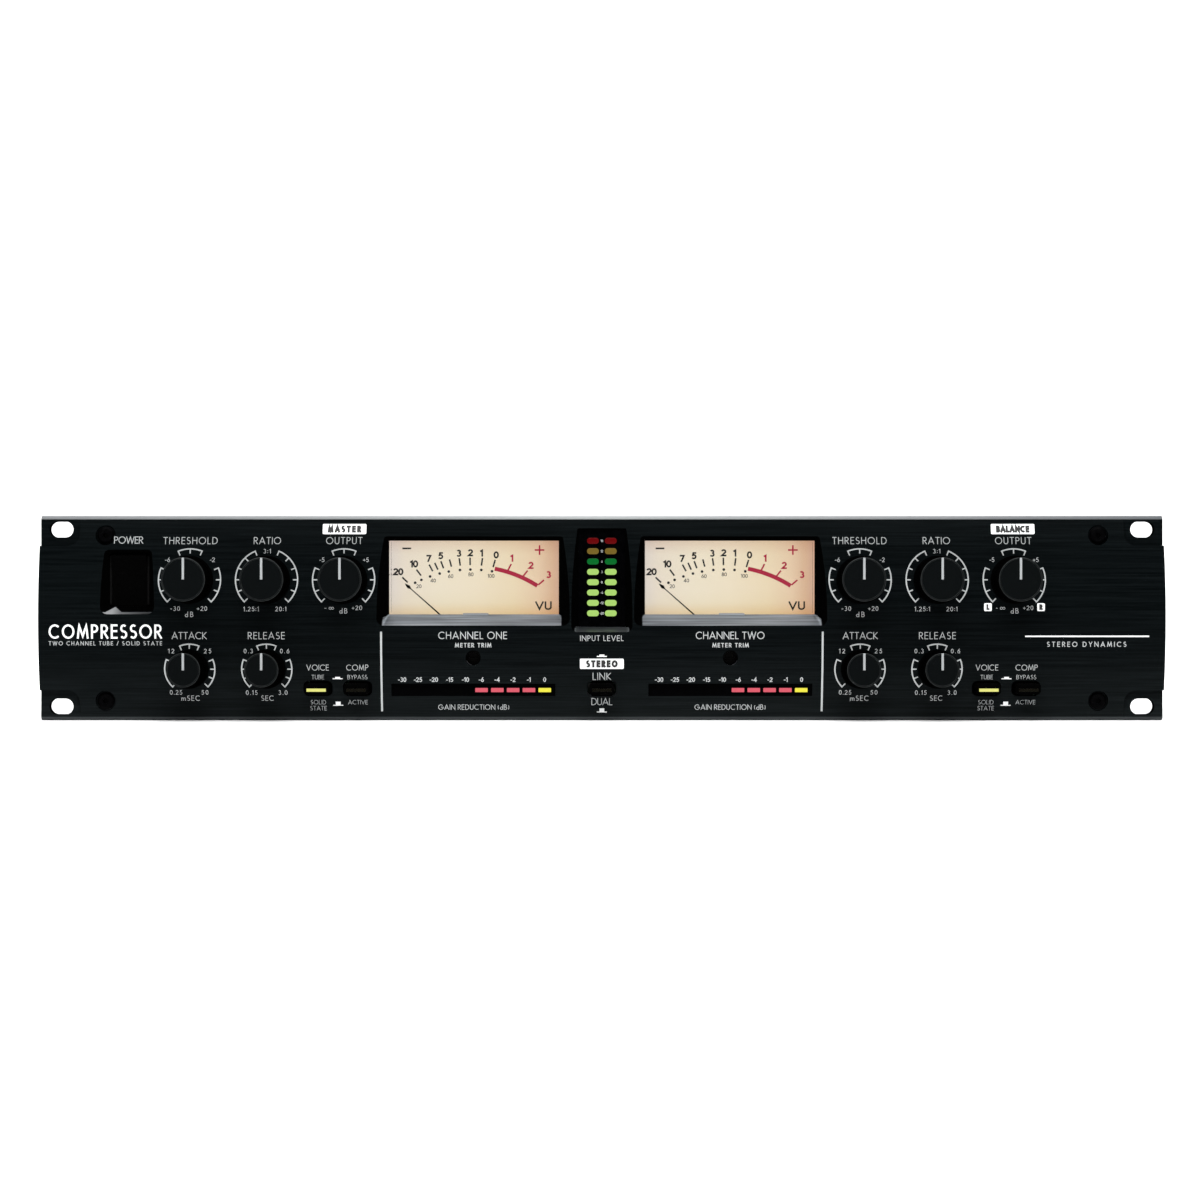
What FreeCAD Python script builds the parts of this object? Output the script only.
import FreeCAD, Part
import os
import Sketcher
from FreeCAD import Placement, Rotation, Vector

# Two-channel rack compressor, 19-inch wide and two rack units tall. Millimetres, +Z up, front
# towards -Y. The origin is the centre of the front panel's back face, the rack-mounting plane.

DIMENSIONS = {
    # front panel
    "panel_wide": 482.6, "panel_tall": 88.1, "edge_thick": 3.2, "bow_radius": 164.7,
    "front_round": 2.2, "ear_wide": 17, "ear_tall": 13, "ear_thick": 3.7, "ear_corner": 5,
    "slot_long": 10.3, "slot_wide": 6.8, "slots_x": 465.1, "slots_z": 76.2,
    "screw_x": 213.2, "screw_z": 35.6, "screw_head": 7.3, "screw_sink": 8.6, "sink_floor": 3.9,
    "tool_front": 12, "window_corner": 0.3,
    # every screw is M3
    "screw_clear": 1.65, "screw_tap": 1.5, "screw_shank": 1.45, "pan_head": 2.9,
    # meters
    "meter_x": 55.1, "window_wide": 73.1, "window_low": 1.55, "window_high": 33.35,
    "lens_front": 3.2, "meter_slope": 0.8, "pivot_shift": 1.8, "pivot_z": -10.3,
    "needle_long": 38, "needle_plane": 4.2, "dial_plane": 7.0, "dial_thick": 0.6,
    "lens_wall": 0.6, "lens_skin": 1.2, "mouth_margin": 0.5, "lens_flange": 1.6, "flange_tall": 2.2,
    "housing_front": 1.3, "housing_back": 16, "housing_wall": 1.2, "housing_half": 38.5,
    "housing_low": -14.6, "housing_high": 37, "dial_half": 37.2, "dial_low": -11.5,
    "dial_high": 35.7, "movement_front": 6.5, "movement_back": 26, "movement_half": 10,
    "movement_low": -20, "movement_radius": 7.2, "staff_radius": 0.5, "rest_angle": -48.6,
    # level and reduction displays
    "column_wide": 20.2, "column_low": -3.8, "column_high": 38.2, "column_front": 4.0,
    "column_slope": 0.58, "column_ledge": 0.42, "level_x": 3.84, "level_top": 33.2,
    "level_pitch": 4.45, "level_led_wide": 5.1, "level_led_tall": 2.8,
    "strip_wide": 70.4, "strip_tall": 5.3, "strip_z": -30.8, "strip_front": 5.0,
    "strip_led_wide": 5.4, "strip_led_tall": 2.0, "strip_pitch": 6.79,
    # power switch
    "power_x": -203.2, "power_z": 16.25, "power_wide": 17, "power_tall": 22.9,
    "power_front": 3.8, "rocker_radius": 11.3, "rocker_pivot": 2.0, "rocker_tilt": 8,
    # knobs
    "knob_first": 110.6, "knob_pitch": 33, "large_z": 16.4, "small_z": -21.9,
    "knob_front": 23.7, "large_back": 9.6, "small_back": 9.1, "large_base": 10.3,
    "large_cap": 9.3, "small_base": 8.3, "small_cap": 7.25, "pointer_wide": 1.15,
    "shaft_radius": 3.0, "shaft_hole": 3.7,
    # push buttons
    "voice_left": -121.8, "comp_left": -104.8, "voice_right": 165, "comp_right": 182,
    "button_z": -30.2, "hole_wide": 12.5, "hole_tall": 6.5, "hole_corner": 2.4,
    "cap_wide": 10.3, "cap_tall": 4.7, "cap_corner": 1.3, "cap_round": 0.5, "cap_front": 12.9,
    "bar_wide": 8.3, "bar_tall": 1.4, "bar_drop": 0.5, "stem": 3,
    # meter trimmers
    "trim_z": -17, "trim_hole": 3.2, "trim_body": 4.0, "trim_rotor": 2.4, "trim_front": 2.9,
    "seat_floor": 3,
    # chassis
    "case_wide": 438, "case_tall": 84, "case_deep": 200, "sheet": 1.2, "lip": 12,
    "board": 1.6, "control_plane": 12, "main_plane": -34, "gap": 0.1, "post_radius": 2.9,
    # parts on the floor and the main board
    "core_x": -175, "core_y": 130, "core_wide": 60, "core_deep": 36, "core_tall": 50,
    "limb": 10, "coil_deep": 60, "foot_wide": 76, "foot_deep": 24,
    "can_radius": 8, "can_tall": 31, "can_pitch": 20, "can_first": -118,
    "tube_x": 60, "tube_y": 85, "socket_radius": 12, "socket_tall": 12, "socket_floor": 8,
    "glass_radius": 10.3, "glass_foot": 8.1, "glass_shoulder": 48, "glass_dome": 56,
    "glass_tip": 61, "cell_radius": 5.2, "cell_long": 18,
    # rear connectors
    "inlet_x": -178, "inlet_half": 14, "inlet_high": 16, "inlet_deep": 176, "inlet_floor": 185,
    "flange_thick": 2.5, "xlr_first": -70, "xlr_pitch": 32, "channel_pitch": 140,
    "xlr_hole": 12, "xlr_barrel": 11.8, "xlr_ring": 9.4, "xlr_insert": 7.9, "xlr_rise": 3,
    "jack_offset": 60, "jack_hole": 4.8, "jack_bore": 3.2, "jack_z": 12, "jack_inner": 177,
}

document = FreeCAD.newDocument("rack_compressor")
sheet = document.addObject("Spreadsheet::Sheet", "Dims")
for row, (alias, value) in enumerate(DIMENSIONS.items(), 1):
    sheet.set(f"A{row}", alias)
    sheet.set(f"B{row}", str(value))
    sheet.setAlias(f"B{row}", alias)
document.recompute()

NODES = {}
FACING = {
    "X": Rotation(Vector(0, 1, 0), 90),
    "Y": Rotation(Vector(1, 0, 0), -90),
    "Z": Rotation(),
}


# ---------------------------------------------------------------- expressions and solids

def number(expression):
    """The present value of an expression over the sheet."""
    return float(sheet.evalExpression(str(expression)))


def panel_thick(z):
    """Expression for the front panel's thickness at height z."""
    rise = f"sqrt(Dims.bow_radius^2 - ({z})^2)"
    edge = "sqrt(Dims.bow_radius^2 - (Dims.panel_tall / 2)^2)"
    return f"(Dims.edge_thick + {rise} - {edge})"


def place(thing, x, y, z, rotation=None):
    """Bind the thing's position to expressions, after turning it."""
    thing.Placement = Placement(Vector(), rotation or Rotation())
    for axis, expression in zip("xyz", (x, y, z)):
        thing.setExpression(f"Placement.Base.{axis}", str(expression))
    return thing


def block(x0, x1, y0, y1, z0, z1):
    """A box between two corners, each coordinate an expression."""
    box = document.addObject("Part::Box", "block")
    box.setExpression("Length", f"({x1}) - ({x0})")
    box.setExpression("Width", f"({y1}) - ({y0})")
    box.setExpression("Height", f"({z1}) - ({z0})")
    return place(box, x0, y0, z0)


def rod(axis, x, y, z, radius, length):
    """A cylinder that starts at a point and runs along +axis."""
    cylinder = document.addObject("Part::Cylinder", "rod")
    cylinder.setExpression("Radius", str(radius))
    cylinder.setExpression("Height", str(length))
    return place(cylinder, x, y, z, FACING[axis])


def cone(axis, x, y, z, radius, end_radius, length):
    """A truncated cone that starts at a point and runs along +axis."""
    taper = document.addObject("Part::Cone", "cone")
    taper.setExpression("Radius1", str(radius))
    taper.setExpression("Radius2", str(end_radius))
    taper.setExpression("Height", str(length))
    return place(taper, x, y, z, FACING[axis])


def fuse(*shapes):
    """One solid from touching shapes."""
    if len(shapes) == 1:
        return shapes[0]
    union = document.addObject("Part::MultiFuse", "union")
    union.Shapes = list(shapes)
    union.Refine = True
    return union


def cut(base, *tools):
    """The base with every tool removed."""
    difference = document.addObject("Part::Cut", "difference")
    difference.Base = base
    difference.Tool = fuse(*tools)
    difference.Refine = True
    return difference


def group(*shapes):
    """Separate solids kept together."""
    compound = document.addObject("Part::Compound", "group")
    compound.Links = list(shapes)
    return compound


def copies(master, places):
    """Linked copies of one solid, at places given as expression triples."""
    links = []
    for x, y, z in places:
        link = document.addObject("App::Link", "copy")
        link.LinkedObject = master
        link.LinkTransform = True
        links.append(place(link, x, y, z))
    return group(*links)


def node(name, thing):
    """Name a finished sub-part; its Label is its file name."""
    thing.Label = name
    NODES[name] = thing
    return thing


# ---------------------------------------------------------------- sketches and features

def new_body(name):
    """An empty PartDesign body."""
    return document.addObject("PartDesign::Body", name)


def new_sketch(body, name, role, offset="0"):
    """A sketch on one of the body's origin planes, moved along the plane's normal."""
    sketch = body.newObject("Sketcher::SketchObject", name)
    plane = next(item for item in body.Origin.OriginFeatures if item.Role == role)
    sketch.AttachmentSupport = [(plane, "")]
    sketch.MapMode = "FlatFace"
    sketch.setExpression("AttachmentOffset.Base.z", str(offset))
    return sketch


def limit(sketch, kind, *reference, size):
    """Add a dimension bound to an expression."""
    index = sketch.addConstraint(Sketcher.Constraint(kind, *reference, number(size)))
    sketch.setExpression(f"Constraints[{index}]", str(size))


def hold(sketch, kind, *reference):
    """Add a geometric constraint."""
    sketch.addConstraint(Sketcher.Constraint(kind, *reference))


def line(sketch, start, end):
    """Add a straight edge between two plane points."""
    return sketch.addGeometry(Part.LineSegment(Vector(*start, 0), Vector(*end, 0)))


def arc(sketch, centre, radius, start, end):
    """Add a circular edge; angles in quarter turns, anticlockwise."""
    quarter = 1.5707963267948966
    circle_line = Part.Circle(Vector(*centre, 0), Vector(0, 0, 1), radius)
    return sketch.addGeometry(Part.ArcOfCircle(circle_line, start * quarter, end * quarter))


def rectangle(sketch, left, right, low, high):
    """A rectangle whose four sides are bound to expressions."""
    x0, x1, y0, y1 = (number(edge) for edge in (left, right, low, high))
    corners = [(x0, y0), (x1, y0), (x1, y1), (x0, y1)]
    sides = [line(sketch, corners[i], corners[(i + 1) % 4]) for i in range(4)]
    for i in range(4):
        hold(sketch, "Coincident", sides[i], 2, sides[(i + 1) % 4], 1)
        hold(sketch, ("Horizontal", "Vertical")[i % 2], sides[i])
    limit(sketch, "DistanceX", -1, 1, sides[0], 1, size=left)
    limit(sketch, "DistanceX", -1, 1, sides[0], 2, size=right)
    limit(sketch, "DistanceY", -1, 1, sides[0], 1, size=low)
    limit(sketch, "DistanceY", -1, 1, sides[2], 1, size=high)


def rounded_rectangle(sketch, left, right, low, high, radius):
    """A rectangle with four equal round corners, its sides bound to expressions."""
    x0, x1, y0, y1, r = (number(edge) for edge in (left, right, low, high, radius))
    bottom = line(sketch, (x0 + r, y0), (x1 - r, y0))
    right_side = line(sketch, (x1, y0 + r), (x1, y1 - r))
    top = line(sketch, (x1 - r, y1), (x0 + r, y1))
    left_side = line(sketch, (x0, y1 - r), (x0, y0 + r))
    centres = [(x1 - r, y0 + r), (x1 - r, y1 - r), (x0 + r, y1 - r), (x0 + r, y0 + r)]
    sides = [bottom, right_side, top, left_side]
    corners = [arc(sketch, centres[i], r, i - 1, i) for i in range(4)]
    for i in range(4):
        hold(sketch, "Tangent", sides[i], 2, corners[i], 1)
        hold(sketch, "Tangent", corners[i], 2, sides[(i + 1) % 4], 1)
        hold(sketch, ("Horizontal", "Vertical")[i % 2], sides[i])
    for corner in corners[1:]:
        hold(sketch, "Equal", corners[0], corner)
    limit(sketch, "Radius", corners[0], size=radius)
    limit(sketch, "DistanceY", -1, 1, bottom, 1, size=low)
    limit(sketch, "DistanceX", -1, 1, right_side, 1, size=right)
    limit(sketch, "DistanceY", -1, 1, top, 1, size=high)
    limit(sketch, "DistanceX", -1, 1, left_side, 1, size=left)


def slot(sketch, x, y, length, width):
    """An oblong with round ends, lying along the sketch's x."""
    middle_x, middle_y, long_size, wide = (number(value) for value in (x, y, length, width))
    reach = (long_size - wide) / 2
    r = wide / 2
    low = line(sketch, (middle_x - reach, middle_y - r), (middle_x + reach, middle_y - r))
    right = arc(sketch, (middle_x + reach, middle_y), r, -1, 1)
    high = line(sketch, (middle_x + reach, middle_y + r), (middle_x - reach, middle_y + r))
    left = arc(sketch, (middle_x - reach, middle_y), r, 1, 3)
    ring = [low, right, high, left]
    for i in range(4):
        hold(sketch, "Tangent", ring[i], 2, ring[(i + 1) % 4], 1)
    hold(sketch, "Horizontal", low)
    hold(sketch, "Equal", left, right)
    limit(sketch, "Radius", right, size=f"({width}) / 2")
    limit(sketch, "DistanceX", -1, 1, left, 3, size=f"({x}) - (({length}) - ({width})) / 2")
    limit(sketch, "DistanceX", -1, 1, right, 3, size=f"({x}) + (({length}) - ({width})) / 2")
    limit(sketch, "DistanceY", -1, 1, right, 3, size=y)


def circle(sketch, x, y, radius):
    """A full circle bound to expressions."""
    shape = Part.Circle(Vector(number(x), number(y), 0), Vector(0, 0, 1), number(radius))
    ring = sketch.addGeometry(shape)
    limit(sketch, "Radius", ring, size=radius)
    limit(sketch, "DistanceX", -1, 1, ring, 3, size=x)
    limit(sketch, "DistanceY", -1, 1, ring, 3, size=y)


def polygon(sketch, points):
    """A closed outline of straight sides, every corner bound to expressions."""
    spots = [(number(x), number(y)) for x, y in points]
    count = len(spots)
    sides = [line(sketch, spots[i], spots[(i + 1) % count]) for i in range(count)]
    for i in range(count):
        hold(sketch, "Coincident", sides[i], 2, sides[(i + 1) % count], 1)
        limit(sketch, "DistanceX", -1, 1, sides[i], 1, size=points[i][0])
        limit(sketch, "DistanceY", -1, 1, sides[i], 1, size=points[i][1])


def pad(body, sketch, length, both_sides=False, reverse=False):
    """Add material along the sketch's normal, or against it."""
    feature = body.newObject("PartDesign::Pad", "Pad")
    feature.Profile = sketch
    feature.setExpression("Length", str(length))
    feature.Midplane = both_sides
    feature.Reversed = reverse
    document.recompute()
    return feature


def pocket(body, sketch, length=None, forward=False):
    """Remove material against the sketch's normal; right through when no length is given."""
    before = body.Shape.Volume
    feature = body.newObject("PartDesign::Pocket", "Pocket")
    feature.Profile = sketch
    feature.Reversed = forward
    if length is None:
        feature.Type = "ThroughAll"
    else:
        feature.setExpression("Length", str(length))
    document.recompute()
    if body.Shape.Volume >= before:
        raise RuntimeError(f"{body.Label}: {sketch.Label} removes nothing")
    return feature


def fillet_edges(body, names, radius):
    """Round named edges of the body's last feature."""
    base = body.Tip
    feature = body.newObject("PartDesign::Fillet", "Fillet")
    feature.Base = (base, names)
    feature.setExpression("Radius", radius)
    document.recompute()
    return feature


def revolve(body, sketch, axis):
    """Turn a sketch a full circle about one of its own axes."""
    feature = body.newObject("PartDesign::Revolution", "Revolution")
    feature.Profile = sketch
    feature.ReferenceAxis = (sketch, [axis])
    feature.Angle = 360
    document.recompute()
    return feature


def repeat_round(body, feature, axis_role, count):
    """Repeat a feature evenly about one of the body's axes."""
    pattern = body.newObject("PartDesign::PolarPattern", "PolarPattern")
    pattern.Originals = [feature]
    axis = next(item for item in body.Origin.OriginFeatures if item.Role == axis_role)
    pattern.Axis = (axis, [""])
    pattern.Angle = 360
    pattern.Occurrences = count
    body.Tip = pattern
    document.recompute()
    return pattern


def repeat_along(body, feature, axis_role, count, pitch):
    """Repeat a feature evenly along one of the body's axes."""
    pattern = body.newObject("PartDesign::LinearPattern", "LinearPattern")
    pattern.Originals = [feature]
    axis = next(item for item in body.Origin.OriginFeatures if item.Role == axis_role)
    pattern.Direction = (axis, [""])
    pattern.setExpression("Length", f"{count - 1} * ({pitch})")
    pattern.Occurrences = count
    body.Tip = pattern
    document.recompute()
    return pattern


# ---------------------------------------------------------------- front panel and its trim

def flared_pocket(body, name, sides, plane, slopes, radius):
    """Cut an opening that is straight behind a plane and flares towards the front."""
    left, right, low, high = sides
    side_slope, low_slope = slopes
    reach = f"(Dims.tool_front - {plane})"
    near = new_sketch(body, f"{name}_opening", "XZ_Plane", plane)
    rounded_rectangle(near, left, right, low, high, radius)
    far = new_sketch(body, f"{name}_front", "XZ_Plane", "Dims.tool_front")
    grow = f"{side_slope} * {reach}"
    rounded_rectangle(far, f"{left} - {grow}", f"{right} + {grow}",
                      f"{low} - {low_slope} * {reach}", f"{high} + {grow}",
                      f"{radius} + 0.45 * {reach}")
    document.recompute()
    flare = body.newObject("PartDesign::SubtractiveLoft", f"{name}_flare")
    flare.Profile = near
    flare.Sections = [far]
    flare.Ruled = True
    document.recompute()
    hole = new_sketch(body, f"{name}_hole", "XZ_Plane", f"{plane} + 0.01")
    rounded_rectangle(hole, left, right, low, high, radius)
    document.recompute()
    pocket(body, hole)


def panel_section(body):
    """The extrusion's end view: flat back, bowed front."""
    section = new_sketch(body, "section", "YZ_Plane")
    half, thin = number("Dims.panel_tall / 2"), number("Dims.edge_thick")
    back = line(section, (0, half), (0, -half))
    low = line(section, (0, -half), (-thin, -half))
    crown = Vector(-number(panel_thick(0)), 0, 0)
    bow = section.addGeometry(Part.Arc(Vector(-thin, half, 0), crown, Vector(-thin, -half, 0)))
    high = line(section, (-thin, half), (0, half))
    hold(section, "Coincident", back, 2, low, 1)
    hold(section, "Coincident", low, 2, bow, 2)
    hold(section, "Coincident", bow, 1, high, 1)
    hold(section, "Coincident", high, 2, back, 1)
    hold(section, "Vertical", back)
    hold(section, "Horizontal", low)
    hold(section, "Horizontal", high)
    hold(section, "PointOnObject", back, 1, -2)
    limit(section, "DistanceY", -1, 1, back, 1, size="Dims.panel_tall / 2")
    limit(section, "DistanceY", -1, 1, back, 2, size="-Dims.panel_tall / 2")
    limit(section, "DistanceX", -1, 1, low, 2, size="-Dims.edge_thick")
    limit(section, "DistanceX", -1, 1, high, 1, size="-Dims.edge_thick")
    limit(section, "Radius", bow, size="Dims.bow_radius")
    return section


def signs():
    """The four corners, as sign pairs."""
    return [(x, z) for x in (-1, 1) for z in (-1, 1)]


def round_long_edges(body):
    """Soften the panel's two long front edges."""
    half, thin = number("Dims.panel_tall / 2"), number("Dims.edge_thick")
    names = []
    for index, edge in enumerate(body.Shape.Edges, 1):
        box = edge.BoundBox
        flat = box.YLength < 0.01 and box.ZLength < 0.01
        if flat and abs(box.YMin + thin) < 0.01 and abs(abs(box.ZMin) - half) < 0.01:
            names.append(f"Edge{index}")
    fillet_edges(body, names, "Dims.front_round")


def mill_ears(body):
    """Flat pads in the four corners, each with a round inner corner, and the rack slots."""
    pads = new_sketch(body, "ear_pads", "XZ_Plane", "Dims.ear_thick")
    for x, z in signs():
        inner_x, outer_x = "(Dims.panel_wide / 2 - Dims.ear_wide)", "(Dims.panel_wide / 2 + 10)"
        inner_z, outer_z = "(Dims.panel_tall / 2 - Dims.ear_tall)", "(Dims.panel_tall / 2 + 10)"
        xs = (inner_x, outer_x) if x > 0 else (f"-{outer_x}", f"-{inner_x}")
        zs = (inner_z, outer_z) if z > 0 else (f"-{outer_z}", f"-{inner_z}")
        rounded_rectangle(pads, *xs, *zs, "Dims.ear_corner")
    document.recompute()
    pocket(body, pads, "Dims.tool_front", forward=True)
    slots = new_sketch(body, "rack_slots", "XZ_Plane", "Dims.tool_front")
    for x, z in signs():
        slot(slots, f"{x} * Dims.slots_x / 2", f"{z} * Dims.slots_z / 2",
             "Dims.slot_long", "Dims.slot_wide")
    document.recompute()
    pocket(body, slots)


BUTTONS = {
    "voice_left": "Dims.voice_left", "comp_left": "Dims.comp_left", "link": "0",
    "voice_right": "Dims.voice_right", "comp_right": "Dims.comp_right",
}
NEAR, MIDDLE, FAR = (f"(Dims.knob_first + {i} * Dims.knob_pitch)" for i in range(3))
LARGE_KNOBS = {
    "threshold_left": f"-{FAR}", "ratio_left": f"-{MIDDLE}", "output_left": f"-{NEAR}",
    "threshold_right": NEAR, "ratio_right": MIDDLE, "output_right": FAR,
}
SMALL_KNOBS = {
    "attack_left": f"-{FAR}", "release_left": f"-{MIDDLE}",
    "attack_right": NEAR, "release_right": MIDDLE,
}
SIDES = {"left": "-Dims.meter_x", "right": "Dims.meter_x"}


def drill_controls(body):
    """Round holes for the shafts, trimmers and screws, and rounded ones for the buttons."""
    holes = new_sketch(body, "shaft_holes", "XZ_Plane", "Dims.tool_front")
    for x in LARGE_KNOBS.values():
        circle(holes, x, "Dims.large_z", "Dims.shaft_hole")
    for x in SMALL_KNOBS.values():
        circle(holes, x, "Dims.small_z", "Dims.shaft_hole")
    for x in SIDES.values():
        circle(holes, x, "Dims.trim_z", "Dims.trim_hole")
    for x, z in signs():
        circle(holes, f"{x} * Dims.screw_x", f"{z} * Dims.screw_z", "Dims.screw_clear")
    for x in BUTTONS.values():
        rounded_rectangle(holes, f"{x} - Dims.hole_wide / 2", f"{x} + Dims.hole_wide / 2",
                          "Dims.button_z - Dims.hole_tall / 2",
                          "Dims.button_z + Dims.hole_tall / 2", "Dims.hole_corner")
    for x in SIDES.values():
        rectangle(holes, f"{x} - Dims.strip_wide / 2", f"{x} + Dims.strip_wide / 2",
                  "Dims.strip_z - Dims.strip_tall / 2", "Dims.strip_z + Dims.strip_tall / 2")
    document.recompute()
    pocket(body, holes)


def sink_hardware(body):
    """Counterbores for the screw heads in front, and trimmer pockets behind."""
    sinks = new_sketch(body, "screw_sinks", "XZ_Plane", "Dims.sink_floor")
    for x, z in signs():
        circle(sinks, f"{x} * Dims.screw_x", f"{z} * Dims.screw_z", "Dims.screw_sink / 2")
    document.recompute()
    pocket(body, sinks, "Dims.tool_front", forward=True)
    seats = new_sketch(body, "trimmer_seats", "XZ_Plane", "Dims.seat_floor")
    for x in SIDES.values():
        circle(seats, x, "Dims.trim_z", "Dims.trim_body + Dims.gap")
    document.recompute()
    pocket(body, seats)


def make_front_panel():
    """The bowed extrusion with its windows and holes."""
    body = new_body("front_panel_body")
    section = panel_section(body)
    document.recompute()
    pad(body, section, "Dims.panel_wide", both_sides=True)
    round_long_edges(body)
    mill_ears(body)
    for side, x in SIDES.items():
        wide = "Dims.window_wide / 2"
        flared_pocket(body, f"meter_{side}",
                      (f"{x} - {wide}", f"{x} + {wide}", "Dims.window_low", "Dims.window_high"),
                      "Dims.lens_front", ("Dims.meter_slope", "Dims.meter_slope"),
                      "Dims.window_corner")
    flared_pocket(body, "column",
                  ("-Dims.column_wide / 2", "Dims.column_wide / 2",
                   "Dims.column_low", "Dims.column_high"),
                  "Dims.column_front", ("Dims.column_slope", "Dims.column_ledge"),
                  "Dims.window_corner")
    flared_pocket(body, "power",
                  ("Dims.power_x - Dims.power_wide / 2", "Dims.power_x + Dims.power_wide / 2",
                   "Dims.power_z - Dims.power_tall / 2", "Dims.power_z + Dims.power_tall / 2"),
                  "Dims.power_front", ("Dims.column_slope", "Dims.column_slope"), "0.8")
    drill_controls(body)
    sink_hardware(body)
    return body


def make_panel_screws():
    """Four button-head screws with hexagon sockets, through the panel into the case tabs."""
    head = cone("Y", "0", "-5.6", "0", "Dims.screw_head / 2 - 1", "Dims.screw_head / 2", "1.0")
    rim = rod("Y", "0", "-4.6", "0", "Dims.screw_head / 2", "0.6")
    shank = rod("Y", "0", "-4.1", "0", "Dims.screw_shank", "9.1")
    socket = document.addObject("Part::Prism", "socket")
    socket.Polygon = 6
    socket.Circumradius = 1.3
    socket.Height = 1.3
    place(socket, "0", "-5.7", "0", FACING["Y"])
    screw = cut(fuse(head, rim, shank), socket)
    spots = [(f"{x} * Dims.screw_x", "0", f"{z} * Dims.screw_z") for x, z in signs()]
    return copies(screw, spots)


# ---------------------------------------------------------------- meters

def make_meter_lens():
    """A clear cover, open behind: front face, four walls and a flange, centred on the window."""
    fit = "(Dims.window_wide / 2 - Dims.gap)"
    low, high = "(Dims.window_low + Dims.gap)", "(Dims.window_high - Dims.gap)"
    front = block(f"-{fit}", fit, "-Dims.lens_front", "0.4", low, high)
    wide = f"({fit} + Dims.lens_flange)"
    flange = block(f"-{wide}", wide, "0.2", "Dims.housing_front",
                   f"{low} - Dims.flange_tall", f"{high} + Dims.flange_tall")
    inside = f"({fit} - Dims.lens_wall)"
    hollow = block(f"-{inside}", inside, "-Dims.lens_front + Dims.lens_skin", "10",
                   f"{low} + Dims.lens_wall", f"{high} - Dims.lens_wall")
    return cut(fuse(front, flange), hollow)


def make_meter_housing():
    """The meter's case: a wide shallow dial box with a deeper movement box below it."""
    wall, half, movement = "Dims.housing_wall", "Dims.housing_half", "Dims.movement_half"
    low, high, centre = "Dims.housing_low", "Dims.housing_high", "-Dims.pivot_shift"
    dial_box = block(f"-{half}", half, "Dims.housing_front", "Dims.housing_back", low, high)
    low_box = block(f"{centre} - {movement}", f"{centre} + {movement}", "Dims.movement_front",
                    "Dims.movement_back", "Dims.movement_low", "0")
    dial_space = block(f"-{half} + {wall}", f"{half} - {wall}", f"Dims.housing_front + {wall}",
                       f"Dims.housing_back - {wall}", f"{low} + {wall}", f"{high} - {wall}")
    low_space = block(f"{centre} - {movement} + {wall}", f"{centre} + {movement} - {wall}",
                      f"Dims.movement_front + {wall}", f"Dims.movement_back - {wall}",
                      f"Dims.movement_low + {wall}", f"-{wall}")
    mouth_half = "(Dims.window_wide / 2 + Dims.mouth_margin)"
    mouth = block(f"-{mouth_half}", mouth_half,
                  "Dims.housing_front - 1", f"Dims.housing_front + {wall} + 0.1",
                  "Dims.window_low - Dims.mouth_margin", "Dims.window_high + Dims.mouth_margin")
    return cut(fuse(dial_box, low_box), dial_space, low_space, mouth)


def make_meter_dial():
    """The printed plate behind the needle, with a hole for its staff."""
    plate = block("-Dims.dial_half", "Dims.dial_half", "Dims.dial_plane",
                  "Dims.dial_plane + Dims.dial_thick", "Dims.dial_low", "Dims.dial_high")
    hole = rod("Y", "-Dims.pivot_shift", "5", "Dims.pivot_z", "2.6", "5")
    return cut(plate, hole)


def make_meter_movement():
    """Ring magnet, core and rear bearing plate, on the movement box's back wall."""
    x, z = "-Dims.pivot_shift", "Dims.pivot_z"
    yoke = rod("Y", x, "10", z, "Dims.movement_radius", "14.8")
    air = rod("Y", x, "9", z, "Dims.movement_radius - 2", "11")
    core = rod("Y", x, "13.4", z, "2.9", "7")
    seat = rod("Y", x, "10", z, "Dims.staff_radius + 0.05", "3")
    bearing = block(f"{x} - 6.5", f"{x} + 6.5", "10", "11", f"{z} - 1.2", f"{z} + 1.2")
    return cut(fuse(cut(yoke, air), core, bearing), seat)


def make_meter_needle():
    """Pointer with a spearhead, hub, staff and coil frame, drawn pointing straight up."""
    body = new_body("needle_body")
    x, z = "-Dims.pivot_shift", "Dims.pivot_z"
    outline = new_sketch(body, "pointer", "XZ_Plane", "-Dims.needle_plane")
    tip = f"({z} + Dims.needle_long)"
    polygon(outline, [
        (f"{x} - 0.45", f"{z} - 2.4"), (f"{x} + 0.45", f"{z} - 2.4"),
        (f"{x} + 0.2", f"{tip} - 3.4"), (f"{x} + 0.75", f"{tip} - 2.1"),
        (f"{x} + 0.12", tip), (f"{x} - 0.12", tip),
        (f"{x} - 0.75", f"{tip} - 2.1"), (f"{x} - 0.2", f"{tip} - 3.4"),
    ])
    document.recompute()
    pad(body, outline, "0.35", reverse=True)
    hub = new_sketch(body, "hub", "XZ_Plane", "-Dims.needle_plane + 0.3")
    circle(hub, x, z, "1.7")
    document.recompute()
    pad(body, hub, "1.1", reverse=True)
    staff = new_sketch(body, "staff", "XZ_Plane", "-Dims.needle_plane")
    circle(staff, x, z, "Dims.staff_radius")
    document.recompute()
    pad(body, staff, "8.5", reverse=True)
    turn = Rotation(Vector(0, 1, 0), number("Dims.rest_angle"))
    pivot = Vector(number(x), 0, number(z))
    body.Placement = Placement(Vector(), turn, pivot)
    return body


def make_meters():
    """The two identical meters."""
    makers = {
        "meter_housing": make_meter_housing, "meter_lens": make_meter_lens,
        "meter_dial": make_meter_dial, "meter_movement": make_meter_movement,
        "meter_needle": make_meter_needle,
    }
    for name, make in makers.items():
        master = make()
        for side, x in SIDES.items():
            node(f"{name}_{side}", copies(master, [(x, "0", "0")]))


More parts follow.
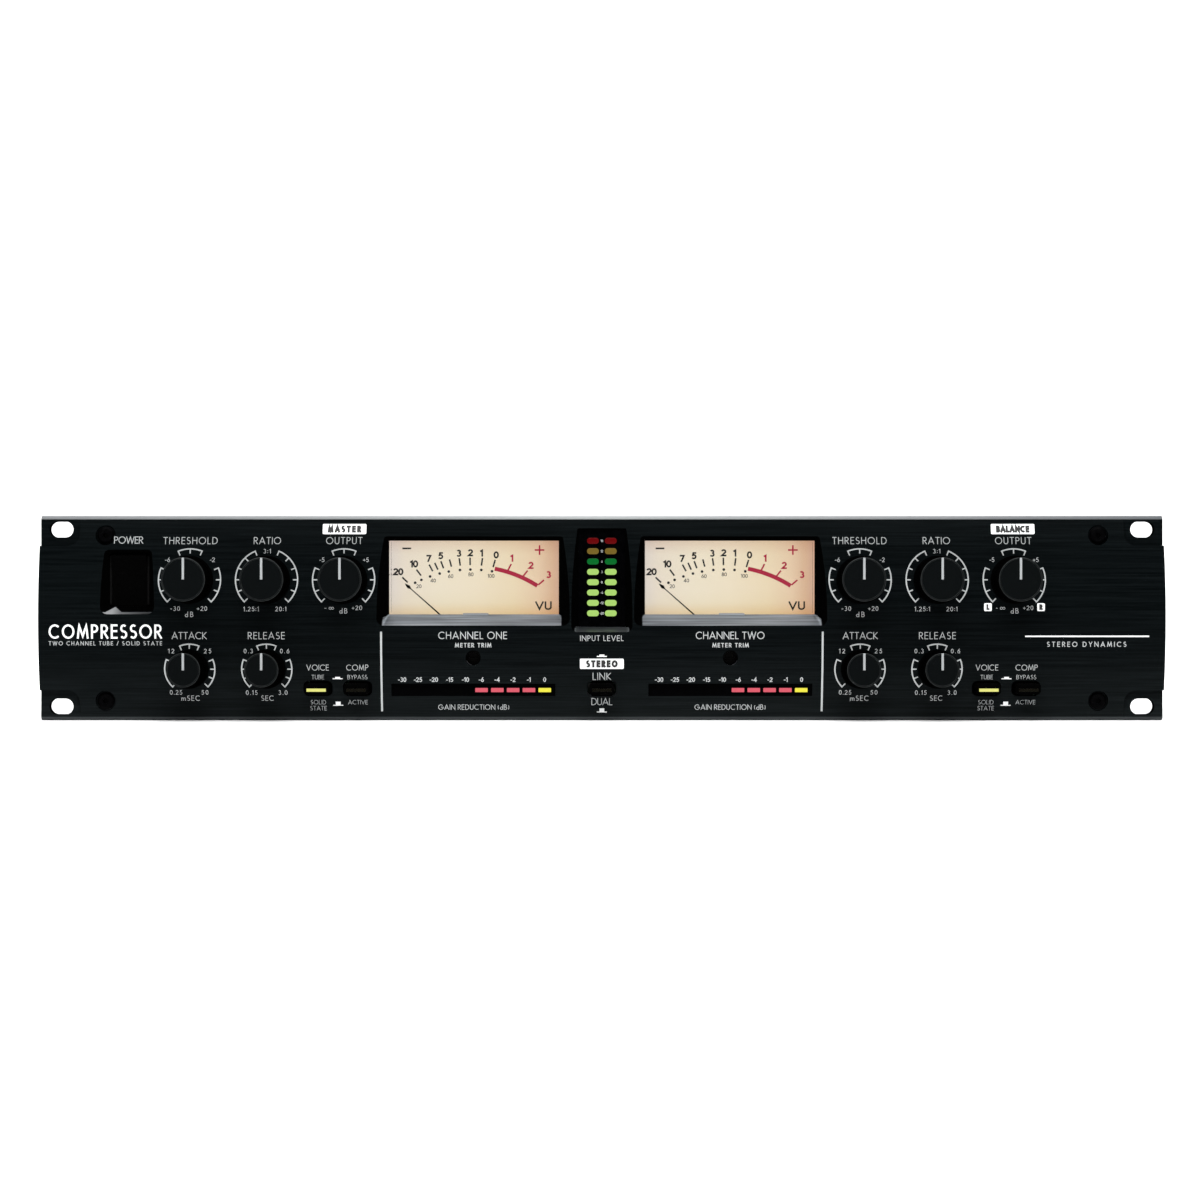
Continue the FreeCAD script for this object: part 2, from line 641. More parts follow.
def make_trimmers():
    """A slotted rotor in a round body, seated in the panel behind each trim hole."""
    shells = []
    for side, x in SIDES.items():
        body = rod("Y", x, "-Dims.trim_front", "Dims.trim_z", "Dims.trim_body", "4")
        seat = rod("Y", x, "-4", "Dims.trim_z", "Dims.trim_rotor + 0.05", "4")
        shells.append(cut(body, seat))
        rotor = rod("Y", x, "-Dims.trim_front", "Dims.trim_z", "Dims.trim_rotor",
                    "Dims.trim_front - 0.05")
        groove = block(f"{x} - 2.1", f"{x} + 2.1", "-4", "-Dims.trim_front + 1",
                       "Dims.trim_z - 0.35", "Dims.trim_z + 0.35")
        node(f"meter_trimmer_{side}", cut(rotor, groove))
    node("meter_trimmer_bodies", group(*shells))


# ---------------------------------------------------------------- lights and windows

def led(wide, tall, front):
    """A flat-topped LED with two legs that reach the control board."""
    lamp = block(f"-({wide}) / 2", f"({wide}) / 2", f"-({front})", "3", f"-({tall}) / 2",
                 f"({tall}) / 2")
    legs = [block(f"{x} - 0.25", f"{x} + 0.25", "2.8", "Dims.control_plane", "-0.25", "0.25")
            for x in (-1.27, 1.27)]
    return fuse(lamp, *legs)


def level_places():
    """The sixteen level lamps: two columns of eight."""
    return [(f"{side} * Dims.level_x", "0", f"Dims.level_top - {row} * Dims.level_pitch")
            for side in (-1, 1) for row in range(8)]


def strip_places():
    """The twenty gain reduction lamps: ten in a row in each channel."""
    return [(f"{x} + ({i} - 4.5) * Dims.strip_pitch", "0", "Dims.strip_z - 0.15")
            for x in SIDES.values() for i in range(10)]


def make_displays():
    """Smoked windows and the lamps behind them."""
    half = "(Dims.column_wide / 2 - Dims.gap)"
    node("input_level_window", block(f"-{half}", half, "-Dims.column_front", "-2.6",
                                     "Dims.column_low + Dims.gap", "Dims.column_high - Dims.gap"))
    node("input_level_leds",
         copies(led("Dims.level_led_wide", "Dims.level_led_tall", "2.5"), level_places()))
    panes = []
    for x in SIDES.values():
        wide = "(Dims.strip_wide / 2 - Dims.gap)"
        tall = "(Dims.strip_tall / 2 - Dims.gap)"
        panes.append(block(f"{x} - {wide}", f"{x} + {wide}", "-Dims.strip_front", "-3.7",
                           f"Dims.strip_z - {tall}", f"Dims.strip_z + {tall}"))
    node("gain_reduction_windows", group(*panes))
    node("gain_reduction_leds",
         copies(led("Dims.strip_led_wide", "Dims.strip_led_tall", "3.6"), strip_places()))


# ---------------------------------------------------------------- knobs and their controls

def make_knob(name, back, base, cap):
    """A fluted knob about the Y axis: skirt, tapering grip, dished face, pointer groove."""
    body = new_body(f"{name}_body")
    profile = new_sketch(body, "profile", "XY_Plane")
    front = "-Dims.knob_front"
    polygon(profile, [
        ("0", f"{front} + 0.25"), (f"{cap} - 0.75", f"{front} + 0.25"),
        (f"{cap} - 0.6", front), (f"{cap} - 0.3", front), (cap, f"{front} + 0.35"),
        (f"{cap} + 0.45", f"-{back} - 2.6"), (base, f"-{back} - 1.5"), (base, f"-{back}"),
        ("Dims.shaft_radius + 0.02", f"-{back}"), ("Dims.shaft_radius + 0.02", f"{front} + 3.5"),
        ("0", f"{front} + 3.5"),
    ])
    document.recompute()
    revolve(body, profile, "V_Axis")
    flute = new_sketch(body, "flute", "XZ_Plane", f"{back} + 2.8")
    circle(flute, "0", f"{cap} + 0.8", "0.8")
    document.recompute()
    groove = pocket(body, flute, f"Dims.knob_front - {back} - 4.2", forward=True)
    repeat_round(body, groove, "Y_Axis", 30)
    pointer = new_sketch(body, "pointer", "XZ_Plane", "Dims.knob_front + 1")
    rectangle(pointer, "-Dims.pointer_wide / 2", "Dims.pointer_wide / 2", "0", f"{cap} + 1")
    document.recompute()
    pocket(body, pointer, "1.55")
    return body


def make_knobs():
    """Ten knobs, each pressed on its own shaft."""
    shaft = rod("Y", "0", "-Dims.knob_front + 3.7", "0", "Dims.shaft_radius", "28")
    large = make_knob("large_knob", "Dims.large_back", "Dims.large_base", "Dims.large_cap")
    small = make_knob("small_knob", "Dims.small_back", "Dims.small_base", "Dims.small_cap")
    for knobs, master, z in ((LARGE_KNOBS, large, "Dims.large_z"),
                             (SMALL_KNOBS, small, "Dims.small_z")):
        for name, x in knobs.items():
            pair = [copies(part, [(x, "0", z)]) for part in (master, shaft)]
            node(name.replace("_", "_knob_"), group(*pair))


def make_potentiometers():
    """Ten square potentiometers with threaded bushes, soldered to the control board."""
    case = block("-8", "8", "1.6", "Dims.control_plane", "-8", "8")
    bush = rod("Y", "0", "-2.5", "0", "3.5", "4.2")
    bore = rod("Y", "0", "-3", "0", "Dims.shaft_radius + 0.05", "11.4")
    pot = cut(fuse(case, bush), bore)
    spots = [(x, "0", "Dims.large_z") for x in LARGE_KNOBS.values()]
    spots += [(x, "0", "Dims.small_z") for x in SMALL_KNOBS.values()]
    return copies(pot, spots)


# ---------------------------------------------------------------- push buttons

def make_button_cap():
    """A rounded black cap with a pocket for its light bar, and a stem behind."""
    body = new_body("button_cap_body")
    outline = new_sketch(body, "outline", "XZ_Plane", "1")
    rounded_rectangle(outline, "-Dims.cap_wide / 2", "Dims.cap_wide / 2",
                      "-Dims.cap_tall / 2", "Dims.cap_tall / 2", "Dims.cap_corner")
    document.recompute()
    pad(body, outline, "Dims.cap_front - 1")
    names = []
    for index, edge in enumerate(body.Shape.Edges, 1):
        if abs(edge.BoundBox.YMax + number("Dims.cap_front")) < 0.01:
            names.append(f"Edge{index}")
    fillet_edges(body, names, "Dims.cap_round")
    recess = new_sketch(body, "bar_recess", "XZ_Plane", "Dims.cap_front - 0.9")
    rectangle(recess, "-Dims.bar_wide / 2", "Dims.bar_wide / 2",
              "-Dims.bar_drop - Dims.bar_tall / 2", "-Dims.bar_drop + Dims.bar_tall / 2")
    document.recompute()
    pocket(body, recess, "5", forward=True)
    stem = new_sketch(body, "stem", "XZ_Plane", "1.5")
    rectangle(stem, "-Dims.stem / 2", "Dims.stem / 2", "-Dims.stem / 2", "Dims.stem / 2")
    document.recompute()
    pad(body, stem, "7.5", reverse=True)
    return body


def make_buttons():
    """Five push buttons, each a cap with a light bar."""
    cap = make_button_cap()
    wide, tall = "(Dims.bar_wide / 2 - 0.05)", "(Dims.bar_tall / 2 - 0.05)"
    bar = block(f"-{wide}", wide, "-Dims.cap_front + 0.05", "-Dims.cap_front + 0.9",
                f"-Dims.bar_drop - {tall}", f"-Dims.bar_drop + {tall}")
    for name, x in BUTTONS.items():
        head, _, side = name.partition("_")
        label = f"{head}_button_{side}".rstrip("_")
        node(label, copies(cap, [(x, "0", "Dims.button_z")]))
        node(label.replace("button", "light_bar"), copies(bar, [(x, "0", "Dims.button_z")]))


def make_push_switches():
    """Five latching switches on the control board, each with a square plunger well."""
    case = block("-4.5", "4.5", "1.5", "Dims.control_plane", "-4.5", "4.5")
    well = block("-Dims.stem / 2 - 0.05", "Dims.stem / 2 + 0.05", "1", "9.5",
                 "-Dims.stem / 2 - 0.05", "Dims.stem / 2 + 0.05")
    return copies(cut(case, well), [(x, "0", "Dims.button_z") for x in BUTTONS.values()])


# ---------------------------------------------------------------- power switch

def make_power_rocker():
    """A rocker whose ends are arcs about its pivot, drawn tilted to its lower stop."""
    body = new_body("rocker_body")
    radius = number("Dims.rocker_radius")
    side = new_sketch(body, "side", "YZ_Plane")
    end_y, middle_y, back_y = -2.6, -1.3, 4.0
    end_z = (radius ** 2 - end_y ** 2) ** 0.5
    back_z = (radius ** 2 - back_y ** 2) ** 0.5
    face = Part.Arc(Vector(end_y, -end_z, 0), Vector(middle_y, 0, 0), Vector(end_y, end_z, 0))
    top = Part.Arc(Vector(end_y, end_z, 0), Vector(0, radius, 0), Vector(back_y, back_z, 0))
    low = Part.Arc(Vector(back_y, -back_z, 0), Vector(0, -radius, 0), Vector(end_y, -end_z, 0))
    side.addGeometry(face)
    side.addGeometry(top)
    line(side, (back_y, back_z), (back_y, -back_z))
    side.addGeometry(low)
    document.recompute()
    pad(body, side, "Dims.power_wide - 1.9", both_sides=True)
    pins = new_sketch(body, "pins", "YZ_Plane")
    circle(pins, "0", "0", "1.2")
    document.recompute()
    pad(body, pins, "Dims.power_wide - 0.3", both_sides=True)
    turn = Rotation(Vector(1, 0, 0), number("Dims.rocker_tilt"))
    place(body, "Dims.power_x", "-Dims.rocker_pivot", "Dims.power_z", turn)
    return body


def make_power_switch():
    """The switch's frame and case behind the panel, with sockets for the rocker's pins."""
    x0 = "Dims.power_x - Dims.power_wide / 2"
    x1 = "Dims.power_x + Dims.power_wide / 2"
    z0 = "Dims.power_z - Dims.power_tall / 2"
    z1 = "Dims.power_z + Dims.power_tall / 2"
    shell = block(f"{x0} - 2", f"{x1} + 2", "0.1", "22", f"{z0} - 1.6", f"{z1} + 1.6")
    cheeks = [block(f"{x} - 0.4", f"{x} + 0.4", "-Dims.power_front + 0.1", "0.2",
                    f"{z0} + 1", f"{z1} - 1") for x in (f"{x0} + 0.45", f"{x1} - 0.45")]
    well = block(f"{x0} + 0.85", f"{x1} - 0.85", "-1", "7", f"{z0} + 0.05", f"{z1} - 0.05")
    bore = rod("X", x0, "-Dims.rocker_pivot", "Dims.power_z", "1.25", "Dims.power_wide")
    tabs = [block(f"{x} - 0.4", f"{x} + 0.4", "21.9", "29", "Dims.power_z + 3 - 3.1",
                  "Dims.power_z + 3 + 3.1")
            for x in ("Dims.power_x - 4", "Dims.power_x + 4")]
    return fuse(cut(fuse(shell, *cheeks), well, bore), *tabs)


# ---------------------------------------------------------------- sheet metal case

SIDE_SCREWS = ("25", "105", "185")


def make_chassis_tray():
    """Floor, side walls, front tabs for the panel screws and rear tabs, one folded sheet."""
    body = new_body("tray_body")
    wide, tall, sheet_metal = "Dims.case_wide / 2", "Dims.case_tall / 2", "Dims.sheet"
    section = new_sketch(body, "section", "XZ_Plane")
    polygon(section, [
        (f"-{wide}", f"-{tall}"), (wide, f"-{tall}"), (wide, tall),
        (f"{wide} - {sheet_metal}", tall), (f"{wide} - {sheet_metal}", f"-{tall} + {sheet_metal}"),
        (f"-{wide} + {sheet_metal}", f"-{tall} + {sheet_metal}"),
        (f"-{wide} + {sheet_metal}", tall), (f"-{wide}", tall),
    ])
    document.recompute()
    pad(body, section, "Dims.case_deep", reverse=True)
    front = new_sketch(body, "front_tabs", "XZ_Plane")
    rear = new_sketch(body, "rear_tabs", "XZ_Plane", "-Dims.case_deep + Dims.sheet")
    for sketch in (front, rear):
        for x, z in signs():
            inner = f"{wide} - Dims.lip"
            xs = (inner, f"{wide} - 0.5") if x > 0 else (f"-{wide} + 0.5", f"-({inner})")
            zs = (f"{tall} - Dims.lip", tall) if z > 0 else (f"-{tall} + 0.5",
                                                             f"-{tall} + Dims.lip")
            rectangle(sketch, *xs, *zs)
    document.recompute()
    pad(body, front, "Dims.sheet", reverse=True)
    pad(body, rear, "Dims.sheet", reverse=True)
    taps = new_sketch(body, "tapped_holes", "XZ_Plane", "1")
    for x, z in signs():
        circle(taps, f"{x} * Dims.screw_x", f"{z} * Dims.screw_z", "Dims.screw_tap")
    document.recompute()
    pocket(body, taps)
    sides = new_sketch(body, "side_holes", "YZ_Plane", "Dims.case_wide")
    for y in SIDE_SCREWS:
        circle(sides, y, "Dims.screw_z", "Dims.screw_tap")
    document.recompute()
    pocket(body, sides)
    vent = new_sketch(body, "side_vent", "YZ_Plane", "Dims.case_wide")
    rounded_rectangle(vent, "58", "61", "-18", "14", "1.4")
    document.recompute()
    repeat_along(body, pocket(body, vent), "Y_Axis", 12, "7")
    return body


def make_top_cover():
    """A lid with folded sides outside the tray, vent slots above the tubes and round holes."""
    body = new_body("cover_body")
    wide, tall = "Dims.case_wide / 2", "Dims.case_tall / 2"
    out = f"{wide} + Dims.gap + Dims.sheet"
    section = new_sketch(body, "section", "XZ_Plane", "-0.3")
    polygon(section, [
        (f"-({out})", f"{tall} - Dims.lip"), (f"-({out}) + Dims.sheet", f"{tall} - Dims.lip"),
        (f"-({out}) + Dims.sheet", f"{tall}"), (f"{wide} + Dims.gap", f"{tall}"),
        (f"{wide} + Dims.gap", f"{tall} - Dims.lip"), (out, f"{tall} - Dims.lip"),
        (out, f"{tall} + Dims.sheet"), (f"-({out})", f"{tall} + Dims.sheet"),
    ])
    document.recompute()
    pad(body, section, "Dims.case_deep + Dims.sheet - 0.3", reverse=True)
    holes = new_sketch(body, "side_holes", "YZ_Plane", "Dims.case_wide")
    for y in SIDE_SCREWS:
        circle(holes, y, "Dims.screw_z", "Dims.screw_clear")
    document.recompute()
    pocket(body, holes)
    vents = new_sketch(body, "vents", "XY_Plane", "Dims.case_tall")
    for x in (-106.5, 13.5):
        rounded_rectangle(vents, f"{x}", f"{x + 3}", "60", "110", "1.4")
    document.recompute()
    repeat_along(body, pocket(body, vents), "X_Axis", 16, "6")
    return body


def connector_places():
    """Rear panel positions: XLR inputs, XLR outputs, jack columns."""
    inputs = [f"Dims.xlr_first + {i} * Dims.channel_pitch" for i in (0, 1)]
    outputs = [f"{x} + Dims.xlr_pitch" for x in inputs]
    jacks = [f"{x} + Dims.jack_offset" for x in inputs]
    return inputs, outputs, jacks


def xlr_screws(x):
    """The two flange screws of one XLR socket."""
    return [(f"{x} + {side * 9.5}", f"{side * 12}") for side in (-1, 1)]


def inlet_screws():
    """The two flange screws of the mains inlet."""
    return [(f"Dims.inlet_x + {side * 20}", "0") for side in (-1, 1)]


def make_rear_panel():
    """A flat plate with the connector cut-outs."""
    body = new_body("rear_body")
    face = "-Dims.case_deep"
    plate = new_sketch(body, "plate", "XZ_Plane", face)
    rectangle(plate, "-Dims.case_wide / 2", "Dims.case_wide / 2", "-Dims.case_tall / 2",
              "Dims.case_tall / 2 - Dims.gap")
    document.recompute()
    pad(body, plate, "Dims.sheet", reverse=True)
    inputs, outputs, jacks = connector_places()
    holes = new_sketch(body, "connector_holes", "XZ_Plane", f"{face} + 5")
    for x in inputs + outputs:
        circle(holes, x, "0", "Dims.xlr_hole")
        for screw_x, z in xlr_screws(x):
            circle(holes, screw_x, z, "Dims.screw_clear")
    for x in jacks:
        for z in ("Dims.jack_z", "-Dims.jack_z"):
            circle(holes, x, z, "Dims.jack_hole")
    for x, z in inlet_screws():
        circle(holes, x, z, "Dims.screw_clear")
    wide, tall = "Dims.inlet_half + 2 * Dims.gap", "Dims.inlet_high + 2 * Dims.gap"
    rectangle(holes, f"Dims.inlet_x - ({wide})", f"Dims.inlet_x + {wide}", f"-({tall})", tall)
    for x, z in signs():
        circle(holes, f"{x} * Dims.screw_x", f"{z} * Dims.screw_z", "Dims.screw_clear")
    document.recompute()
    pocket(body, holes)
    return body


def make_case_screws():
    """Pan-head screws: cover, rear panel, XLR sockets and mains inlet."""
    head = cone("Z", "0", "0", "0.55", "Dims.pan_head", "Dims.pan_head - 0.8", "1.45")
    rim = rod("Z", "0", "0", "0", "Dims.pan_head", "0.6")
    shank = rod("Z", "0", "0", "-5", "Dims.screw_shank", "5.1")
    cross = [block(x0, x1, y0, y1, "1", "3") for x0, x1, y0, y1 in
             (("-1.6", "1.6", "-0.3", "0.3"), ("-0.3", "0.3", "-1.6", "1.6"))]
    screw = cut(fuse(head, rim, shank), *cross)
    inputs, outputs, _ = connector_places()
    back = "Dims.case_deep + Dims.sheet"
    flange = f"{back} + Dims.flange_thick"
    rear = [(f"{x} * Dims.screw_x", back, f"{z} * Dims.screw_z") for x, z in signs()]
    rear += [(x, flange, z) for spot in inputs + outputs for x, z in xlr_screws(spot)]
    rear += [(x, flange, z) for x, z in inlet_screws()]
    screws = [turned_copy(screw, spot, FACING["Y"]) for spot in rear]
    for side in (-1, 1):
        for y in SIDE_SCREWS:
            spot = (f"{side} * (Dims.case_wide / 2 + Dims.gap + Dims.sheet)", y, "Dims.screw_z")
            screws.append(turned_copy(screw, spot, Rotation(Vector(0, 1, 0), side * 90)))
    return group(*screws)


def turned_copy(master, spot, rotation):
    """A linked copy, turned and placed."""
    link = document.addObject("App::Link", "copy")
    link.LinkedObject = master
    link.LinkTransform = True
    return place(link, *spot, rotation)


# ---------------------------------------------------------------- boards and inner parts

def standoff_places():
    """Control board standoffs in the panel's plane."""
    return [("-100", "37.5"), ("100", "37.5"), ("-186", "37.5"), ("186", "37.5"),
            ("-90", "-37.5"), ("90", "-37.5"), ("-186", "-37.5"), ("186", "-37.5")]


def foot_places():
    """Main board standoffs on the floor."""
    return [(x, y) for x in ("-125", "30", "200") for y in ("28", "172")]


def make_control_board():
    """The upright board behind the panel, cut away round both meters."""
    plane = "Dims.control_plane"
    plate = block("-191", "191", plane, f"{plane} + Dims.board", "-40.5", "40.5")
    tools = []
    for x in SIDES.values():
        tools.append(block(f"{x} - 39.2", f"{x} + 39.2", plane, "20", "-21", "50"))
    tools += [rod("Y", x, plane, z, "Dims.screw_clear", "5") for x, z in standoff_places()]
    return cut(plate, *tools)


def make_main_board():
    """The flat board that carries the tubes, capacitors and optocouplers."""
    plane = "Dims.main_plane"
    plate = block("-131", "206", "22", "178", plane, f"{plane} + Dims.board")
    holes = [rod("Z", x, y, f"{plane} - 1", "Dims.screw_clear", "5") for x, y in foot_places()]
    return cut(plate, *holes)


def make_board_standoffs():
    """Hexagon spacers with threaded ends: eight behind the panel, six on the floor."""
    spacers = []
    for x, z in standoff_places():
        spacers.append(hexagon("Y", (x, "0.05", z), "Dims.control_plane - 0.05"))
        spacers.append(rod("Y", x, "Dims.control_plane", z, "Dims.screw_shank", "4"))
    floor = "-Dims.case_tall / 2 + Dims.sheet"
    for x, y in foot_places():
        spacers.append(hexagon("Z", (x, y, floor), f"Dims.main_plane - ({floor})"))
        spacers.append(rod("Z", x, y, "Dims.main_plane", "Dims.screw_shank", "4"))
    pairs = zip(spacers[::2], spacers[1::2])
    return group(*[fuse(post, stud) for post, stud in pairs])


def hexagon(axis, spot, length):
    """A hexagonal bar that starts at a point and runs along +axis."""
    bar = document.addObject("Part::Prism", "hexagon")
    bar.Polygon = 6
    bar.setExpression("Circumradius", "Dims.post_radius")
    bar.setExpression("Height", str(length))
    return place(bar, *spot, FACING[axis])


def centred(middle, size):
    """The two ends of a span about its middle."""
    return f"{middle} - ({size}) / 2", f"{middle} + ({size}) / 2"


def make_power_transformer():
    """Laminated core with a wound coil in its two windows, feet on the floor."""
    floor = "(-Dims.case_tall / 2 + Dims.sheet)"
    x, y, limb, tall = "Dims.core_x", "Dims.core_y", "Dims.limb", "Dims.core_tall"
    core = block(*centred(x, "Dims.core_wide"), *centred(y, "Dims.core_deep"),
                 floor, f"{floor} + {tall}")
    bore = [floor, f"{floor} + {limb}", f"{floor} + {tall} - {limb}"]
    windows = [block(*centred(f"{x} + {side * 1.5} * {limb}", limb),
                     *centred(y, "Dims.coil_deep"), *bore[1:]) for side in (-1, 1)]
    feet = block(*centred(x, "Dims.foot_wide"), *centred(y, "Dims.foot_deep"),
                 floor, f"{floor} + 2")
    slack = "2 * Dims.gap"
    coil = block(*centred(x, f"4 * {limb} - 2 * {slack}"), *centred(y, "Dims.coil_deep"),
                 f"{bore[1]} + {slack}", f"{bore[2]} - {slack}")
    leg = block(*centred(x, f"2 * {limb} + Dims.gap"), *centred(y, f"Dims.core_deep + {slack}"),
                f"{floor} + {limb} / 2", f"{floor} + {tall} - {limb} / 2")
    return group(fuse(cut(core, *windows), feet), cut(coil, leg))


def make_filter_capacitors():
    """Six upright electrolytic capacitors beside the transformer, scored across the top."""
    can = rod("Z", "0", "0", "0", "Dims.can_radius", "Dims.can_tall")
    score = block("-Dims.can_radius - 1", "Dims.can_radius + 1", "-0.3", "0.3",
                  "Dims.can_tall - 0.4", "Dims.can_tall + 1")
    return copies(cut(can, score), [
        (f"Dims.can_first + {column} * Dims.can_pitch", y, "Dims.main_plane + Dims.board")
        for column in range(3) for y in ("135", "158")])


def tube_places():
    """One tube per channel."""
    return [(f"{side} * Dims.tube_x", "Dims.tube_y", "Dims.main_plane + Dims.board")
            for side in (-1, 1)]


def make_tube_sockets():
    """Nine-pin sockets: a ring with a floor, on the main board."""
    ring = rod("Z", "0", "0", "0", "Dims.socket_radius", "Dims.socket_tall")
    well = rod("Z", "0", "0", "Dims.socket_floor", "Dims.glass_radius + 0.3", "6")
    return copies(cut(ring, well), tube_places())


def make_vacuum_tubes():
    """Glass envelopes with a flat foot, a domed top and a sealed tip."""
    body = new_body("tube_body")
    profile = new_sketch(body, "profile", "XZ_Plane")
    names = ("radius", "foot", "shoulder", "dome", "tip")
    radius, foot, shoulder, dome, tip = (number(f"Dims.glass_{name}") for name in names)
    neck, stem = 2.0, 1.1
    bulge = Vector(0.78 * radius, shoulder + 0.69 * (dome - shoulder), 0)
    line(profile, (0, foot), (radius, foot))
    line(profile, (radius, foot), (radius, shoulder))
    profile.addGeometry(Part.Arc(Vector(radius, shoulder, 0), bulge, Vector(neck, dome, 0)))
    line(profile, (neck, dome), (stem, tip - 1))
    line(profile, (stem, tip - 1), (0, tip))
    line(profile, (0, tip), (0, foot))
    document.recompute()
    revolve(body, profile, "V_Axis")
    return copies(body, tube_places())


def make_optocouplers():
    """Two sealed light cells in the gain paths, one per channel."""
    cell = rod("X", "-Dims.cell_long / 2", "0", "Dims.cell_radius", "Dims.cell_radius - 0.2",
               "Dims.cell_long")
    return copies(cell, [(x, "70", "Dims.main_plane + Dims.board") for x in ("-20", "100")])


# ---------------------------------------------------------------- rear connectors

def make_power_inlet():
    """Mains inlet: flange, housing, three blades in a deep cavity and a fuse drawer slot."""
    x, back, wide = "Dims.inlet_x", "(Dims.case_deep + Dims.sheet)", "Dims.inlet_half"
    shell = block(f"{x} - {wide}", f"{x} + {wide}", "Dims.inlet_deep", back,
                  "-Dims.inlet_high", "Dims.inlet_high")
    flange = block(f"{x} - 25", f"{x} + 25", back, f"{back} + Dims.flange_thick",
                   "-17.5", "17.5")
    cavity = block(f"{x} - {wide} + 1.8", f"{x} + {wide} - 1.8", "Dims.inlet_floor", "210",
                   "-Dims.inlet_high + 1.4", "1.8")
    slot_space = block(f"{x} - {wide} + 2", f"{x} + {wide} - 2", "Dims.inlet_deep + 3", "210",
                       "4.4", "Dims.inlet_high - 1.6")
    holes = [rod("Y", hole_x, "195", z, "Dims.screw_clear", "12")
             for hole_x, z in inlet_screws()]
    blades = [block(f"{x} + {step} - 1", f"{x} + {step} + 1", "Dims.inlet_floor - 0.1", "199",
                    f"{z} - 2", f"{z} + 2") for step, z in ((-7, -8), (0, -4), (7, -8))]
    return fuse(cut(fuse(shell, flange), cavity, slot_space, *holes), *blades)


def make_fuse_drawer():
    """A drawer with a trough and its glass fuse."""
    x = "Dims.inlet_x"
    tray = block(f"{x} - 11.8", f"{x} + 11.8", "180", "203.9", "4.6", "14.2")
    front = block(f"{x} - 12.6", f"{x} + 12.6", "203.9", "205.1", "4.2", "14.6")
    trough = block(f"{x} - 3", f"{x} + 3", "181.2", "202.2", "6.4", "15")
    grip = block(f"{x} - 4", f"{x} + 4", "204.5", "206", "11.6", "15")
    fuse_link = rod("Y", x, "181.6", "9.45", "2.5", "20")
    return group(cut(fuse(tray, front), trough, grip), fuse_link)


def xlr_flange():
    """Square flange and round housing shared by both kinds of XLR socket."""
    back = "(Dims.case_deep + Dims.sheet)"
    plate = block("-13", "13", back, f"{back} + Dims.flange_thick", "-15.5", "15.5")
    barrel = rod("Y", "0", "180", "0", "Dims.xlr_barrel", f"{back} - 180 + Dims.xlr_rise")
    holes = [rod("Y", x, "195", z, "Dims.screw_clear", "12") for x, z in xlr_screws("0")]
    return cut(fuse(plate, barrel), *holes)


def xlr_pins():
    """The three contact positions of an XLR socket."""
    return [("-4", "1.6"), ("4", "1.6"), ("0", "-4.6")]


def make_xlr_inputs():
    """Female sockets: a flat insert with three round holes inside a ring groove."""
    face = "(Dims.case_deep + Dims.sheet + Dims.xlr_rise)"
    groove = cut(rod("Y", "0", f"{face} - 14", "0", "Dims.xlr_ring", "16"),
                 rod("Y", "0", f"{face} - 15", "0", "Dims.xlr_insert", "18"))
    holes = [rod("Y", x, f"{face} - 13", z, "1.35", "15") for x, z in xlr_pins()]
    socket = cut(xlr_flange(), groove, *holes)
    inputs, _, _ = connector_places()
    return copies(socket, [(x, "0", "0") for x in inputs])


def make_xlr_outputs():
    """Male sockets: an open cup with three pins."""
    face = "(Dims.case_deep + Dims.sheet + Dims.xlr_rise)"
    cup = rod("Y", "0", f"{face} - 15", "0", "Dims.xlr_ring", "17")
    pins = [rod("Y", x, f"{face} - 15.2", z, "1.2", "12.5") for x, z in xlr_pins()]
    socket = fuse(cut(xlr_flange(), cup), *pins)
    _, outputs, _ = connector_places()
    return copies(socket, [(x, "0", "0") for x in outputs])


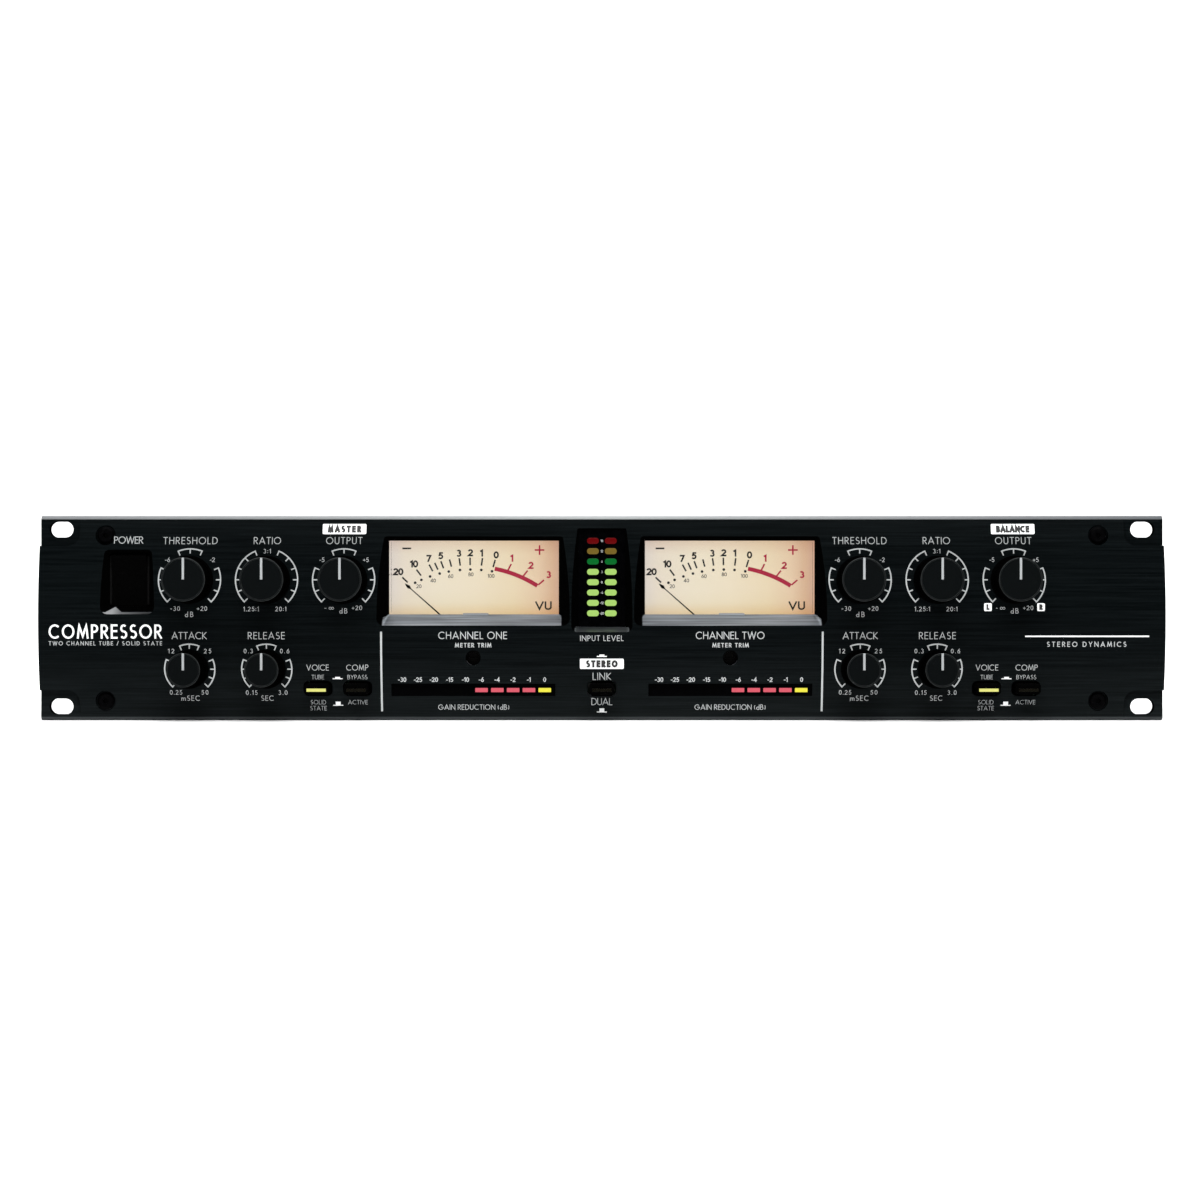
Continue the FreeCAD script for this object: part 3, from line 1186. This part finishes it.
def make_jack_sockets():
    """Quarter-inch sockets: a case inside, a threaded nose and nut outside."""
    back = "(Dims.case_deep + Dims.sheet)"
    case = block("-7.5", "7.5", "Dims.jack_inner", "Dims.case_deep - Dims.gap", "-7", "7")
    nose = rod("Y", "0", "Dims.case_deep - 0.2", "0", "Dims.jack_hole - Dims.gap", "4.4")
    nut = document.addObject("Part::Prism", "nut")
    nut.Polygon = 6
    nut.Circumradius = 7.4
    nut.Height = 2
    place(nut, "0", back, "0", FACING["Y"])
    bore = rod("Y", "0", "Dims.jack_inner + 2", "0", "Dims.jack_bore", "30")
    socket = cut(fuse(case, nose, nut), bore)
    _, _, jacks = connector_places()
    return copies(socket, [(x, "0", z) for x in jacks for z in ("Dims.jack_z", "-Dims.jack_z")])


# ---------------------------------------------------------------- assembly

node("front_panel", make_front_panel())
node("panel_screws", make_panel_screws())
make_meters()
make_trimmers()
make_displays()
make_knobs()
node("potentiometers", make_potentiometers())
make_buttons()
node("push_switches", make_push_switches())
node("power_rocker", make_power_rocker())
node("power_switch_body", make_power_switch())
node("chassis_tray", make_chassis_tray())
node("top_cover", make_top_cover())
node("rear_panel", make_rear_panel())
node("case_screws", make_case_screws())
node("control_board", make_control_board())
node("main_board", make_main_board())
node("board_standoffs", make_board_standoffs())
node("power_transformer", make_power_transformer())
node("filter_capacitors", make_filter_capacitors())
node("tube_sockets", make_tube_sockets())
node("vacuum_tubes", make_vacuum_tubes())
node("optocouplers", make_optocouplers())
node("power_inlet", make_power_inlet())
node("fuse_drawer", make_fuse_drawer())
node("xlr_inputs", make_xlr_inputs())
node("xlr_outputs", make_xlr_outputs())
node("jack_sockets", make_jack_sockets())
document.recompute()

for item in document.Objects:
    if "Invalid" in item.State or "Error" in item.State:
        raise RuntimeError(f"{item.Label} did not build: {item.State}")
for name, thing in NODES.items():
    if thing.Shape.isNull() or not thing.Shape.isValid() or not thing.Shape.Solids:
        raise RuntimeError(f"{name} has no sound solid")

os.makedirs("parts", exist_ok=True)
for name, thing in NODES.items():
    thing.Shape.exportStep(f"parts/{name}.step")
    box = thing.Shape.BoundBox
    print(f"{name:26s} {len(thing.Shape.Solids):3d} solids"
          f"  X {box.XMin:8.2f} {box.XMax:8.2f}  Y {box.YMin:7.2f} {box.YMax:7.2f}"
          f"  Z {box.ZMin:7.2f} {box.ZMax:7.2f}")
print(len(NODES), "nodes")
